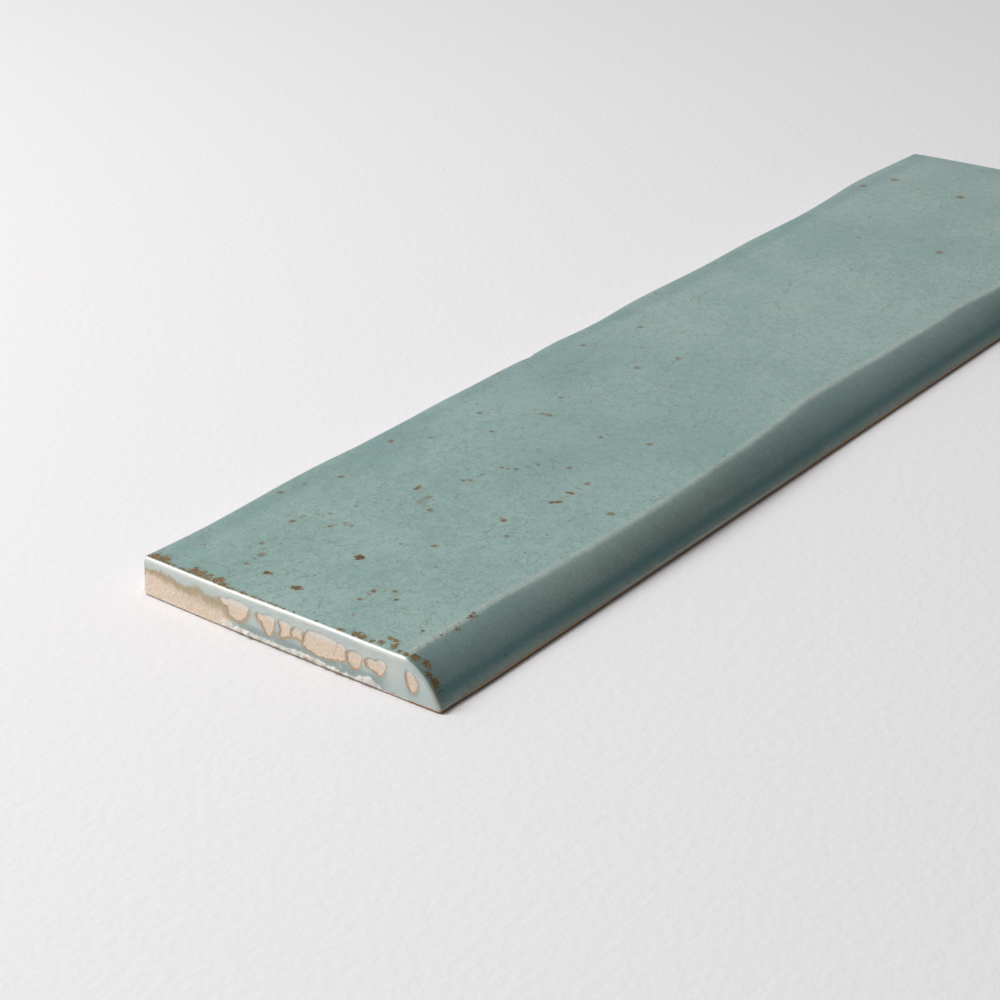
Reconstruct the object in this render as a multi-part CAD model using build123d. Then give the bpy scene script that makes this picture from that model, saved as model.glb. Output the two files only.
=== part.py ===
from build123d import *
import math
import os

# A pressed and fired bullnose wall tile, lying on its back with the glazed face up. Millimetres.
# X runs along the tile, the bullnose edge is on -Y, the plain long edge on +Y, the back is Z = 0.

# Body
LENGTH = 300.0              # from end to end, over the middle of the bowed ends
WIDTH = 75.0                # from the foot of the bullnose to the plain long edge
THICKNESS = 8.5             # back to glazed face, along the long edges
CROWN = 0.15                # the face stands this much higher along its middle

# Bullnose
CREST_INSET = 8.0           # foot of the bullnose to the line where its round meets the face
NOSE_BULGE = 1.2            # how far the round stands out of the straight line from crest to foot
CREST_SOFTENING = 1.6       # width over which glaze and clay round the crest over
CREST_DROP = 0.25           # crest below the face beside it

# Edges
END_BOW = 0.4               # the ends stand this much further out in their middle
NEAR_END_SKEW = 0.3         # the near end reaches this much further out at the bullnose than if square
SIDE_LEAN = 0.5             # the ends and the plain side stand this much further out at the back
EDGE_ROUND = 1.0            # radius of the glazed edges and upright corners
BACK_BEVEL = 0.5            # bevel round the back, where the clay is bare

# Waves of the hand-finished clay
CREST_WAVE = 1.35           # the crest line winds this much to each side
CREST_WAVE_LENGTH = 162.0
CREST_WAVE_PEAK = 12.0      # where along X the crest comes furthest into the face
LONG_WAVE = 0.3             # height of the waves along the face
LONG_WAVE_LENGTH = 150.0
LONG_WAVE_PEAK = 112.0
PLAIN_EDGE_WAVE = 0.25      # the plain long edge winds this much to each side
PLAIN_EDGE_WAVE_LENGTH = 58.0
PLAIN_EDGE_WAVE_PEAK = -102.0

# Spacing of the sections that the waves are drawn through, and of the face's points in each
STATION_SPACING = 15.0
POINT_SPACING = 7.5

# Extra clay past the back and the ends, which is then trimmed off
SPARE = 2.0

# Places nearer than this count as one
SAME_PLACE = 0.001


def wave(position, length, peak):
    """A cosine of the given wave length that is 1 at the peak."""
    return math.cos(2 * math.pi * (position - peak) / length)


def foot_y():
    """The line where the bullnose meets the floor."""
    return -WIDTH / 2


def plain_y(x):
    """The back edge of the plain side, which touches the full width at the peaks of its wave."""
    return WIDTH / 2 - PLAIN_EDGE_WAVE * (1 - wave(x, PLAIN_EDGE_WAVE_LENGTH, PLAIN_EDGE_WAVE_PEAK))


def crest_y(x):
    """The line where the face turns into the bullnose."""
    return foot_y() + CREST_INSET + CREST_WAVE * wave(x, CREST_WAVE_LENGTH, CREST_WAVE_PEAK)


def face_z(x, y):
    """Height of the glazed face above the back."""
    across = 1 - (y / (WIDTH / 2)) ** 2
    return THICKNESS + CROWN * across + LONG_WAVE * wave(x, LONG_WAVE_LENGTH, LONG_WAVE_PEAK)


def nose_round(crest):
    """Centre and radius of the arc through the crest and the foot, from its bulge."""
    foot = Vector(0, foot_y(), 0)
    chord = crest - foot
    radius = (chord.length**2 / 4 + NOSE_BULGE**2) / (2 * NOSE_BULGE)
    inward = Vector(0, chord.Z, -chord.Y).normalized()
    centre = foot + chord * 0.5 + inward * (radius - NOSE_BULGE)
    return centre, radius


def cross_section(x):
    """The tile cut across its length at x, reaching a little below the back."""
    plain = plain_y(x)
    inset = crest_y(x)
    crest = Vector(0, inset, face_z(x, inset + CREST_SOFTENING) - CREST_DROP)
    centre, radius = nose_round(crest)
    low = Vector(0, centre.Y - math.sqrt(radius**2 - (SPARE + centre.Z) ** 2), -SPARE)
    middle = centre + ((crest + low) * 0.5 - centre).normalized() * radius
    crest_tangent = Vector(0, centre.Z - crest.Z, crest.Y - centre.Y).normalized()

    top = plain - SIDE_LEAN
    flat_width = top - (inset + CREST_SOFTENING)
    steps = max(3, round(flat_width / POINT_SPACING))
    face_points = []
    for step in range(steps + 1):
        y = top - flat_width * step / steps
        face_points.append(Vector(0, y, face_z(x, y)))
    below = Vector(0, plain + SIDE_LEAN * SPARE / face_points[0].Z, -SPARE)

    face = Spline(*face_points, crest, tangents=[Vector(0, -1, 0), crest_tangent])
    nose = ThreePointArc(crest, middle, low)
    back = Line(low, below)
    side = Line(below, face_points[0])
    return Pos(x, 0, 0) * make_face([face, nose, back, side])


def plan():
    """The outline at the back with its bowed ends, as a block that narrows upwards."""
    reach = WIDTH / 2 + SPARE
    corner_x = LENGTH / 2 - END_BOW
    far_end = ThreePointArc((corner_x, -reach), (LENGTH / 2, 0), (corner_x, reach))
    pulled_in = NEAR_END_SKEW**2 / (4 * END_BOW)  # keeps the skewed bow within the full length
    near_end = ThreePointArc(
        (-corner_x + pulled_in + NEAR_END_SKEW, reach),
        (-LENGTH / 2 + pulled_in, 0),
        (-corner_x + pulled_in - NEAR_END_SKEW, -reach),
    )
    sides = [Line(far_end @ 1, near_end @ 0), Line(near_end @ 1, far_end @ 0)]
    lean = math.degrees(math.atan(SIDE_LEAN / THICKNESS))
    above_all_waves = THICKNESS + CROWN + LONG_WAVE + SPARE
    return extrude(make_face([far_end, near_end, *sides]), above_all_waves, taper=lean)


def rim_edges(tile):
    """The edges that the glaze runs over: all those of the ends and the plain side above the bevel."""
    walls = tile.faces().filter_by(lambda face: face.bounding_box().max.Z > THICKNESS / 2)
    ends = [walls.sort_by(Axis.X)[0], walls.sort_by(Axis.X)[-1]]
    plain_side = walls.sort_by(Axis.Y)[-1]
    chosen = []
    for face in [*ends, plain_side]:
        for edge in face.edges():
            on_bevel = edge.bounding_box().max.Z < BACK_BEVEL + SAME_PLACE
            known = any((edge.center() - other.center()).length < SAME_PLACE for other in chosen)
            if not on_bevel and not known:
                chosen.append(edge)
    return chosen


def bullnose_tile():
    """The whole tile, one fired piece."""
    first = -LENGTH / 2 - SPARE
    run = LENGTH + 2 * SPARE
    stations = max(4, round(run / STATION_SPACING))
    sections = [cross_section(first + run * index / stations) for index in range(stations + 1)]
    tile = loft(sections) & plan()
    tile = chamfer(tile.faces().sort_by(Axis.Z)[0].edges(), BACK_BEVEL)
    return fillet(rim_edges(tile), EDGE_ROUND)


os.makedirs("parts", exist_ok=True)
tile = bullnose_tile()
export_step(tile, "parts/bullnose_tile.step")
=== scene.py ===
import math

import bpy
import numpy as np
from mathutils import Matrix, Vector, noise


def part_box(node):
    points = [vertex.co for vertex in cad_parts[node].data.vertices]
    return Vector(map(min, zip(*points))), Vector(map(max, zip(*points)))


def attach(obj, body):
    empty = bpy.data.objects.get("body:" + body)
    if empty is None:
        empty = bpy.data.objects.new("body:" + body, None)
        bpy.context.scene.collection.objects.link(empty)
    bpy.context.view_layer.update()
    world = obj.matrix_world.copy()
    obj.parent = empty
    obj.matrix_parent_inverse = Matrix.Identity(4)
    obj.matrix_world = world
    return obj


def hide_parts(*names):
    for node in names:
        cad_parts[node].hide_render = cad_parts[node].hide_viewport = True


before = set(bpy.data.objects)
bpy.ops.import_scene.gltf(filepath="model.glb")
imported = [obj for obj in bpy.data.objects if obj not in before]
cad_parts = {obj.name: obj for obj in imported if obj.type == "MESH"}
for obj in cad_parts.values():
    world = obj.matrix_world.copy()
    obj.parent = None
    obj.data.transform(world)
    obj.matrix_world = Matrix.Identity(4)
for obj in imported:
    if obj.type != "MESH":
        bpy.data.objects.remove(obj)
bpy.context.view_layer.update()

bl_info = {
    "name": "Bullnose Wall Tile",
    "version": (1, 0, 0),
    "blender": (4, 5, 0),
    "location": "View3D > Sidebar > Tile",
    "description": "Makes a glazed bullnose wall tile and a plain studio floor with soft light",
    "category": "Add Mesh",
}

NODE = "bullnose_tile"
MM = 0.001

# The tile's form in millimetres, the same as the solid's. The overall size comes from the frame.
LOW_CORNER, HIGH_CORNER = [np.array(corner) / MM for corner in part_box(NODE)]
LENGTH = round(HIGH_CORNER[0] - LOW_CORNER[0])
WIDTH = round(HIGH_CORNER[1] - LOW_CORNER[1])
THICKNESS = 8.5
CROWN = 0.15
CREST_INSET = 8.0
NOSE_BULGE = 1.2
CREST_SOFTENING = 1.6
CREST_DROP = 0.25
END_BOW = 0.4
NEAR_END_SKEW = 0.3
SIDE_LEAN = 0.5
EDGE_ROUND = 1.0
END_ROUND = 0.9
BACK_BEVEL = 0.5

# Waves of the hand-finished clay, as in the solid: how far to each side, length, and where along
# the tile they peak
CREST_WAVE = 1.35
CREST_WAVE_LENGTH = 162.0
CREST_WAVE_PEAK = 12.0
LONG_WAVE = 0.3
LONG_WAVE_LENGTH = 150.0
LONG_WAVE_PEAK = 112.0
PLAIN_EDGE_WAVE = 0.25
PLAIN_EDGE_WAVE_LENGTH = 58.0
PLAIN_EDGE_WAVE_PEAK = -102.0

# At the near corners the plain side stands out, the face sags and the bullnose's foot draws in:
# how much, and how far along the tile
CORNER_FLARE = (0.45, 12.0)
CORNER_SAG = (0.3, 14.0)
FOOT_INSET = (0.45, 9.0)

# Width over which the face settles to its own height beside the rounded plain edge
FACE_SETTLING = 2.0

# How far below the back the bullnose is drawn, for the bevel to cut it off
SPARE = 1.0

# Points in each line of an outline before it is spaced out evenly
SIDE_POINTS = 30
ROUND_POINTS = 24
FACE_POINTS = 200
CREST_POINTS = 20
UPPER_NOSE_POINTS = 40
NOSE_POINTS = 60

# Resolution of the mesh. Every second line of the fine grid goes on over the middle of the tile.
SIDE_STEPS = 30
ROUND_STEPS = 10
FACE_STEPS = 256
CREST_STEPS = 12
UPPER_NOSE_STEPS = 22
NOSE_STEPS = 30
RIM_STEPS = 8
FINE_STEPS = 12
FINE_SPACING = 0.35
COARSE_SPACING = 1.05
NOSE_SPLIT_HEIGHT = 7.0

# Bare patches on the near end, where the glaze crawled back off the clay: the corners of each, as
# place across the tile and height above the back
BARE_PATCHES = [
    [(16.3, 6.3), (15.3, 6.5), (14.3, 6.5), (13.4, 6.9), (11.5, 7.0), (9.4, 6.7), (8.9, 6.1),
     (9.3, 4.9), (9.9, 3.9), (10.9, 3.1), (12.1, 2.8), (13.4, 3.1), (14.3, 3.8), (14.4, 5.0),
     (15.4, 5.0), (16.2, 5.5)],
    [(6.7, 6.1), (6.1, 6.3), (5.6, 6.0), (5.2, 6.5), (3.1, 6.7), (2.2, 6.3), (2.5, 5.1),
     (2.8, 3.7), (3.1, 2.8), (3.8, 2.4), (4.6, 2.8), (5.3, 3.9), (5.7, 4.9), (6.3, 4.8),
     (6.8, 5.4)],
    [(1.3, 6.3), (0.6, 6.6), (-0.8, 6.5), (-1.6, 6.0), (-1.5, 4.8), (-1.6, 3.5), (-1.0, 3.8),
     (-0.4, 3.6), (0.2, 3.1), (0.9, 3.1), (1.3, 3.5), (0.6, 4.4), (0.9, 5.2)],
    [(-1.8, 5.2), (-3.1, 6.4), (-4.3, 6.1), (-4.1, 5.1), (-4.4, 4.0), (-3.6, 3.9), (-3.0, 4.5),
     (-2.5, 3.9), (-1.8, 4.4)],
    [(-5.3, 5.6), (-6.0, 6.6), (-7.5, 7.0), (-9.5, 7.0), (-11.6, 6.8), (-12.9, 6.5), (-14.2, 6.6),
     (-14.9, 5.8), (-14.7, 4.6), (-15.0, 3.6), (-13.8, 3.0), (-12.2, 2.8), (-10.0, 2.4),
     (-8.3, 2.2), (-6.6, 2.6), (-4.6, 3.2), (-4.8, 4.5)],
    [(-15.3, 5.1), (-16.1, 5.9), (-17.5, 6.1), (-18.6, 5.7), (-19.0, 5.0), (-18.5, 4.0),
     (-18.0, 3.0), (-17.0, 2.7), (-15.8, 3.2), (-15.4, 4.0)],
    [(-19.6, 5.3), (-20.8, 5.9), (-22.0, 5.8), (-23.0, 6.3), (-24.2, 6.3), (-24.3, 5.0),
     (-23.9, 3.6), (-23.2, 3.1), (-22.2, 3.6), (-21.2, 3.9), (-20.0, 4.2)],
    [(-28.9, 6.3), (-29.8, 6.3), (-30.7, 5.7), (-31.4, 5.0), (-31.7, 4.2), (-31.4, 3.2),
     (-30.9, 2.5), (-30.4, 2.2), (-29.9, 2.8), (-29.4, 3.8), (-29.0, 5.0)],
]

# A crack across the widest bare patch: its two ends
PATCH_CRACK = [(-12.9, 6.1), (-12.2, 3.6)]

# Left part of the near end: where the pale glaze ends and where the bare clay begins, as place
# across the tile and height above the back
GLAZE_BORDER = [
    (13.5, 2.4), (15.0, 4.6), (16.5, 6.2), (18.0, 5.6), (20.0, 5.6), (22.2, 6.6), (24.0, 5.9),
    (26.0, 5.6), (28.5, 5.9), (30.0, 6.4), (33.0, 6.4), (35.0, 6.1), (37.5, 5.9),
]
CLAY_BORDER = [
    (13.5, 2.0), (15.0, 2.6), (17.0, 3.1), (20.0, 3.5), (22.0, 3.3), (24.0, 3.8), (27.0, 3.9),
    (30.0, 4.2), (33.0, 4.6), (35.5, 5.2), (37.5, 5.6),
]

# Top of the dry, pale crust along the foot of the near end
CRUST_TOP = [
    (-27.0, 0.4), (-26.0, 0.8), (-23.5, 1.2), (-22.0, 1.9), (-20.8, 2.8), (-19.5, 2.1),
    (-17.0, 1.4), (-14.0, 1.3), (-11.0, 1.5), (-8.0, 1.9), (-4.0, 2.1), (-1.5, 1.9), (1.0, 1.5),
    (5.0, 1.9), (7.5, 1.7), (10.0, 2.0), (12.5, 1.9), (14.0, 2.2), (16.0, 2.2), (17.0, 0.4),
]

# Dents in the plain edge of the face, and swellings with a depth below 0: place along the tile,
# reach to each side, depth
EDGE_DENTS = [
    (-108.0, 20.0, -0.55), (-89.0, 6.0, 0.2), (-46.0, 12.0, 0.75), (-31.0, 8.0, 0.75),
    (-30.5, 1.6, 0.35), (-4.0, 12.0, 0.8), (83.0, 17.0, 1.0), (119.0, 13.0, -0.65),
]

# Wavers of the crest line into the face, and outwards below 0: place along the tile, reach to each
# side, size
CREST_WAVERS = [
    (-150.0, 3.0, -1.3), (-123.0, 8.0, 0.5), (-104.0, 7.0, 0.15), (-71.0, 6.0, -0.2),
    (-46.0, 8.0, -0.18), (-14.0, 10.0, 0.85), (4.0, 6.0, 0.2), (18.0, 7.0, -0.25),
    (53.0, 9.0, 0.9),
]

# Iron spots in the glaze: place along the tile, place across it, radius, strength
IRON_SPOTS = [
    (-125.3, 2.8, 1.1, 1.0), (-140.0, 12.9, 0.8, 1.0), (-139.8, 12.1, 0.5, 0.9),
    (-141.5, 4.8, 0.8, 0.8), (-141.2, 3.7, 1.0, 0.8), (-95.4, 13.0, 0.7, 0.8),
    (-96.4, 12.9, 0.7, 0.7), (-97.3, -10.0, 0.8, 0.75), (-98.0, 8.6, 1.0, 0.3),
    (-100.3, 8.3, 1.3, 0.2), (-101.0, 29.1, 0.8, 0.45), (-102.2, 4.6, 0.8, 0.45),
    (-102.2, -14.6, 0.7, 0.45), (-107.8, 33.0, 0.7, 0.35), (-109.2, 17.7, 0.6, 0.4),
    (-113.4, -5.8, 0.7, 0.6), (-114.7, 19.8, 0.6, 0.45), (-116.0, 14.5, 0.6, 0.4),
    (-116.1, 12.7, 0.6, 0.4), (-118.7, 16.0, 0.7, 0.45), (-118.5, 23.3, 0.6, 0.35),
    (-121.4, 23.5, 0.8, 0.45), (-119.9, -11.4, 0.5, 0.5), (-131.8, 21.9, 0.8, 0.4),
    (-135.3, 18.7, 0.9, 0.4), (-139.5, 18.7, 0.7, 0.4), (-131.7, -11.5, 0.6, 0.6),
    (-134.1, -8.3, 0.6, 0.7), (-134.0, -13.8, 0.6, 0.65), (-137.8, -8.3, 0.6, 0.65),
    (-113.3, 34.3, 0.8, 0.5), (-85.9, -13.0, 0.6, 0.8), (-85.3, -13.6, 0.6, 0.8),
    (-84.7, -14.3, 0.6, 0.8), (-80.5, -13.2, 0.6, 0.8), (-80.5, -14.0, 0.6, 0.7),
    (-87.3, 6.3, 0.6, 0.55), (-88.2, 7.5, 0.6, 0.5), (-79.2, 4.8, 0.6, 0.5),
    (-78.1, 1.8, 0.7, 0.6), (-84.0, 6.0, 0.5, 0.5), (-82.3, 31.8, 0.8, 0.55),
    (-76.3, 26.0, 0.8, 0.3), (-66.7, 17.2, 0.7, 0.5), (-60.7, 25.0, 0.9, 0.4),
    (-53.4, 12.0, 0.8, 0.5), (-53.6, 13.8, 0.7, 0.4), (-56.1, -3.4, 0.7, 0.55),
    (-53.1, -13.8, 0.8, 0.45), (-44.6, 15.5, 0.7, 0.45), (-75.1, -14.0, 0.8, 0.45),
    (-74.0, -0.7, 0.7, 0.4), (-71.5, -6.5, 0.8, 0.4), (-83.2, -25.3, 0.9, 0.4),
    (-17.8, 29.3, 0.8, 0.4), (-1.0, 25.0, 0.8, 0.5), (-12.0, 7.0, 0.9, 0.35),
    (-21.5, 11.5, 1.0, 0.35), (121.3, 7.4, 1.2, 0.6), (124.5, 29.0, 1.2, 0.5),
    (115.3, 33.5, 1.2, 0.5), (81.5, -8.0, 1.2, 0.4),
]

# Iron that gathered along the glazed edge of the near end and over the crest: the same four values
RIM_IRON = [
    (-147.7, 34.8, 1.8, 1.0), (-147.3, 32.8, 1.6, 1.0), (-148.4, 30.5, 0.9, 0.7),
    (-148.5, 27.0, 1.0, 0.8), (-147.5, 24.6, 1.6, 1.0), (-147.6, 22.8, 1.5, 1.0),
    (-146.8, 20.9, 0.6, 0.8), (-148.0, 20.4, 0.9, 0.8), (-147.7, 18.3, 1.5, 1.0),
    (-148.2, 16.4, 1.2, 1.0), (-148.5, 14.5, 0.9, 0.7), (-148.5, 11.4, 0.8, 0.7),
    (-148.7, 8.0, 0.6, 0.6), (-148.7, -2.0, 0.5, 0.6), (-148.5, -13.0, 0.9, 0.8),
    (-147.9, -16.3, 1.1, 1.0), (-148.1, -18.0, 1.1, 1.0), (-148.2, -20.2, 0.8, 0.9),
    (-147.6, -21.8, 0.9, 0.9), (-145.6, -22.4, 0.8, 0.9), (-145.6, -23.6, 0.8, 0.8),
    (-146.8, -24.4, 0.9, 0.8), (-147.9, -24.8, 0.7, 0.8), (-148.2, -26.5, 0.6, 0.8),
    (-148.2, -28.0, 0.8, 0.9), (-147.6, -29.6, 1.1, 1.0), (-146.6, -31.3, 1.1, 0.8),
    (-148.1, -32.8, 0.8, 0.7), (-147.9, -34.2, 1.1, 0.9),
    (-134.8, -28.8, 0.8, 0.3), (-130.3, -28.5, 1.0, 0.4),
]

# Broad areas of the face in the deep glaze colour, partly deeper glaze and partly painted shade
# for the soft shading of the face's gentle waves: middle along and across, reach along and
# across, strength
DEEP_AND_SHADED_AREAS = [
    (-58.0, -5.0, 42.0, 24.0, 0.24), (-30.0, 24.0, 26.0, 12.0, 0.34),
    (-84.0, 30.0, 22.0, 7.0, 0.3), (84.0, 8.0, 12.0, 26.0, 0.15), (148.0, 20.0, 12.0, 40.0, 0.3),
]

# How squarely a point faces a side where it starts to belong to it, and where it wholly does
ON_SIDE = (0.45, 0.85)

# How far from the near end its rounded edge reaches
EDGE_REACH = 1.5

# Where across the tile the near end's upright corner begins
CORNER_START = 35.8

# Half the width of the crack
CRACK_WIDTH = 0.12

# Height of the bare, stained clay round the foot of the tile
FOOT_HEIGHT = 0.68

# Height where the glaze ends on the unseen sides, and at the near corner
UNSEEN_GLAZE_END = 4.2
CORNER_GLAZE_END = 5.6


def wave(position, length, peak):
    """A cosine of the given wave length that is 1 at the peak."""
    return np.cos(2 * math.pi * (position - peak) / length)


def smooth(low, high, value):
    """0 below low, 1 above high, and an even turn between them."""
    t = np.clip((value - low) / (high - low), 0.0, 1.0)
    return t * t * (3 - 2 * t)


def bell(distance, reach):
    """1 at no distance, fading to nothing well past the reach."""
    return np.exp(-((distance / reach) ** 2))


def near_corner(x, size, reach):
    """The whole size at the near end, fading along the tile."""
    return size * bell(x + LENGTH / 2, reach)


def plain_y(x):
    """The back edge of the plain side, a little further out at the near corner."""
    winding = PLAIN_EDGE_WAVE * (1 - wave(x, PLAIN_EDGE_WAVE_LENGTH, PLAIN_EDGE_WAVE_PEAK))
    return WIDTH / 2 - winding + near_corner(x, *CORNER_FLARE)


def crest_y(x):
    """The line where the face turns into the bullnose."""
    winding = CREST_WAVE * wave(x, CREST_WAVE_LENGTH, CREST_WAVE_PEAK)
    wavers = sum(size * bell(x - place, reach) for place, reach, size in CREST_WAVERS)
    return -WIDTH / 2 + CREST_INSET + winding + wavers


def face_z(x, y):
    """Height of the glazed face above the back. It sags a little at the near corner."""
    crown = CROWN * (1 - (y / (WIDTH / 2)) ** 2)
    sag = near_corner(x, *CORNER_SAG) * smooth(-8.0, 16.0, y)
    return THICKNESS + crown + LONG_WAVE * wave(x, LONG_WAVE_LENGTH, LONG_WAVE_PEAK) - sag


def end_inset(y, z, side):
    """How far an end lies inside the full length: its bow and lean, and the near end's skew."""
    across = y / (WIDTH / 2)
    skew = np.where(side < 0, NEAR_END_SKEW * across + NEAR_END_SKEW**2 / (4 * END_BOW), 0.0)
    return END_BOW * across**2 + skew + SIDE_LEAN * z / THICKNESS


def along(points, steps):
    """Evenly spaced points along a line of points, with the first and last kept."""
    run = np.concatenate([[0.0], np.cumsum(np.linalg.norm(np.diff(points, axis=0), axis=1))])
    at = np.linspace(0.0, run[-1], steps + 1)
    return np.stack([np.interp(at, run, points[:, axis]) for axis in range(2)], axis=1)


def arc(centre, radius, start, end, steps):
    """Points along an arc between two angles."""
    turn = np.linspace(start, end, steps)
    return centre + radius * np.stack([np.cos(turn), np.sin(turn)], axis=1)


def moved_in(line, depth):
    """A line of points moved towards the tile's inside, square to itself."""
    step = np.gradient(line, axis=0)
    step /= np.linalg.norm(step, axis=1, keepdims=True)
    return line + depth * np.stack([-step[:, 1], step[:, 0]], axis=1)


def cut_at_bevel(line):
    """The part of an upright line above the bevel, with its end on the bevel's upper edge."""
    foot_y = np.interp(BACK_BEVEL, *(line[np.argsort(line[:, 1])][:, axis] for axis in (1, 0)))
    kept = line[line[:, 1] > BACK_BEVEL]
    foot = [[foot_y, BACK_BEVEL]]
    return np.concatenate([foot, kept] if line[0, 1] < line[-1, 1] else [kept, foot])


def outline_at(x, depth):
    """The outline across the tile at x: up the plain side, over the face and down the bullnose.

    The depth moves it inwards, for the rounded edges of the ends.
    """
    dent = sum(deep * bell(x - place, reach) for place, reach, deep in EDGE_DENTS)
    foot_edge = plain_y(x)
    top_y = foot_edge - SIDE_LEAN - dent
    top_z = face_z(x, top_y)
    side = np.linspace([foot_edge, 0.0], [top_y, top_z - EDGE_ROUND], SIDE_POINTS)
    rounding = arc(side[-1] - [EDGE_ROUND, 0], EDGE_ROUND, 0, math.pi / 2, ROUND_POINTS)

    inset = crest_y(x)
    face_y = np.linspace(top_y - EDGE_ROUND, inset + CREST_SOFTENING, FACE_POINTS)
    face = np.stack([face_y, face_z(x, face_y)], axis=1)
    settled = np.exp(-(face_y[0] - face_y) / FACE_SETTLING)
    face[:, 1] += (rounding[-1, 1] - face[0, 1]) * settled

    crest = np.array([inset, face_z(x, inset + CREST_SOFTENING) - CREST_DROP])
    foot = np.array([-WIDTH / 2 + near_corner(x, *FOOT_INSET), 0.0])
    chord = crest - foot
    radius = (chord @ chord / 4 + NOSE_BULGE**2) / (2 * NOSE_BULGE)
    inward = np.array([chord[1], -chord[0]]) / np.linalg.norm(chord)
    centre = foot + chord / 2 + inward * (radius - NOSE_BULGE)
    start = math.atan2(crest[1] - centre[1], crest[0] - centre[0])
    split = math.pi - math.asin((NOSE_SPLIT_HEIGHT - centre[1]) / radius)
    low = math.pi - math.asin((-SPARE - centre[1]) / radius)
    upper = arc(centre, radius, start, split, UPPER_NOSE_POINTS)
    lower = arc(centre, radius, split, low, NOSE_POINTS)

    # the crest is a smooth turn from the face's slope to the round's
    reach = np.linalg.norm(crest - face[-1])
    face_slope = (face[-1] - face[-2]) / np.linalg.norm(face[-1] - face[-2])
    nose_slope = np.array([-math.sin(start), math.cos(start)])
    t = np.linspace(0, 1, CREST_POINTS)[:, None]
    turn_over = (
        (2 * t**3 - 3 * t**2 + 1) * face[-1]
        + (t**3 - 2 * t**2 + t) * reach * face_slope
        + (3 * t**2 - 2 * t**3) * crest
        + (t**3 - t**2) * reach * nose_slope
    )

    lines = [moved_in(line, depth) for line in (side, rounding, face, turn_over, upper, lower)]
    lines[0] = cut_at_bevel(lines[0])
    lines[-1] = cut_at_bevel(lines[-1])
    steps = (SIDE_STEPS, ROUND_STEPS, FACE_STEPS, CREST_STEPS, UPPER_NOSE_STEPS, NOSE_STEPS)
    pieces = [along(line, count) for line, count in zip(lines, steps)]
    return np.concatenate([pieces[0], *(piece[1:] for piece in pieces[1:])])


def stations():
    """The outlines: distance from the near end, depth of the rounded edge, coarse or not."""
    half = LENGTH / 2
    turns = np.linspace(0, math.pi / 2, RIM_STEPS + 1)
    rim = [(END_ROUND * (1 - math.cos(a)), END_ROUND * (1 - math.sin(a)), False) for a in turns]
    fine = [(END_ROUND + FINE_SPACING * (n + 1), 0.0, False) for n in range(FINE_STEPS)]
    start = fine[-1][0]
    steps = round((half - start) / COARSE_SPACING)
    coarse = [(start + (half - start) * (n + 1) / steps, 0.0, True) for n in range(steps)]
    near = rim + fine + coarse
    far = [(LENGTH - distance, depth, thin) for distance, depth, thin in reversed(near[:-1])]
    return near + far


class TileMesh:
    """Collects the tile's points and faces, as one closed skin."""

    def __init__(self):
        self.points = []
        self.faces = []

    def add(self, points):
        """Adds points and returns their numbers."""
        first = len(self.points)
        self.points.extend(points.tolist())
        return list(range(first, len(self.points)))

    def strip(self, first, second):
        """Joins two lines of points. Where one has twice the steps, its extra points go in."""
        if len(first) == len(second):
            for n in range(len(first) - 1):
                self.faces.append((first[n], first[n + 1], second[n + 1], second[n]))
        elif len(first) > len(second):
            for n in range(len(second) - 1):
                a = 2 * n
                self.faces.append((*first[a : a + 3], second[n + 1], second[n]))
        else:
            for n in range(len(first) - 1):
                a = 2 * n
                self.faces.append((first[n], first[n + 1], *second[a : a + 3][::-1]))


def end_cap(tile, ring, outline, side):
    """Fills an end inside its outline with a grid. Returns the numbers of its lowest row."""
    top = slice(SIDE_STEPS, len(outline) - NOSE_STEPS)
    top_row, left, right = outline[top], outline[SIDE_STEPS::-1], outline[-NOSE_STEPS - 1 :]
    u = (top_row[0, 0] - top_row[:, 0]) / (top_row[0, 0] - top_row[-1, 0])
    u = u[:, None]
    bottom = (1 - u) * left[-1] + u * right[-1]
    row_numbers = ring[top]
    rows = SIDE_STEPS
    for row in range(1, rows + 1):
        v = row / rows
        blend = (1 - v) * top_row + v * bottom + (1 - u) * left[row] + u * right[row]
        corners = (
            (1 - u) * (1 - v) * top_row[0]
            + u * (1 - v) * top_row[-1]
            + (1 - u) * v * bottom[0]
            + u * v * bottom[-1]
        )
        inner = (blend - corners)[1:-1]
        x = side * (LENGTH / 2 - end_inset(inner[:, 0], inner[:, 1], side))
        numbers = tile.add(np.column_stack([x, inner]))
        next_row = [ring[SIDE_STEPS - row], *numbers, ring[len(ring) - NOSE_STEPS - 1 + row]]
        if side < 0:
            tile.strip(next_row, row_numbers)
        else:
            tile.strip(row_numbers, next_row)
        row_numbers = next_row
    return row_numbers


def add_back(tile, rim):
    """Adds the bevel inside the rim round the foot, and the flat back."""
    places = np.array([tile.points[n] for n in rim])
    step = np.roll(places, -1, axis=0) - np.roll(places, 1, axis=0)
    outward = np.column_stack([step[:, 1], -step[:, 0]])
    outward /= np.linalg.norm(outward, axis=1, keepdims=True)
    inner = places.copy()
    inner[:, :2] -= BACK_BEVEL * outward
    inner[:, 2] = 0.0
    back = tile.add(inner)
    tile.strip(rim + rim[:1], back + back[:1])
    tile.faces.append(tuple(back))


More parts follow.
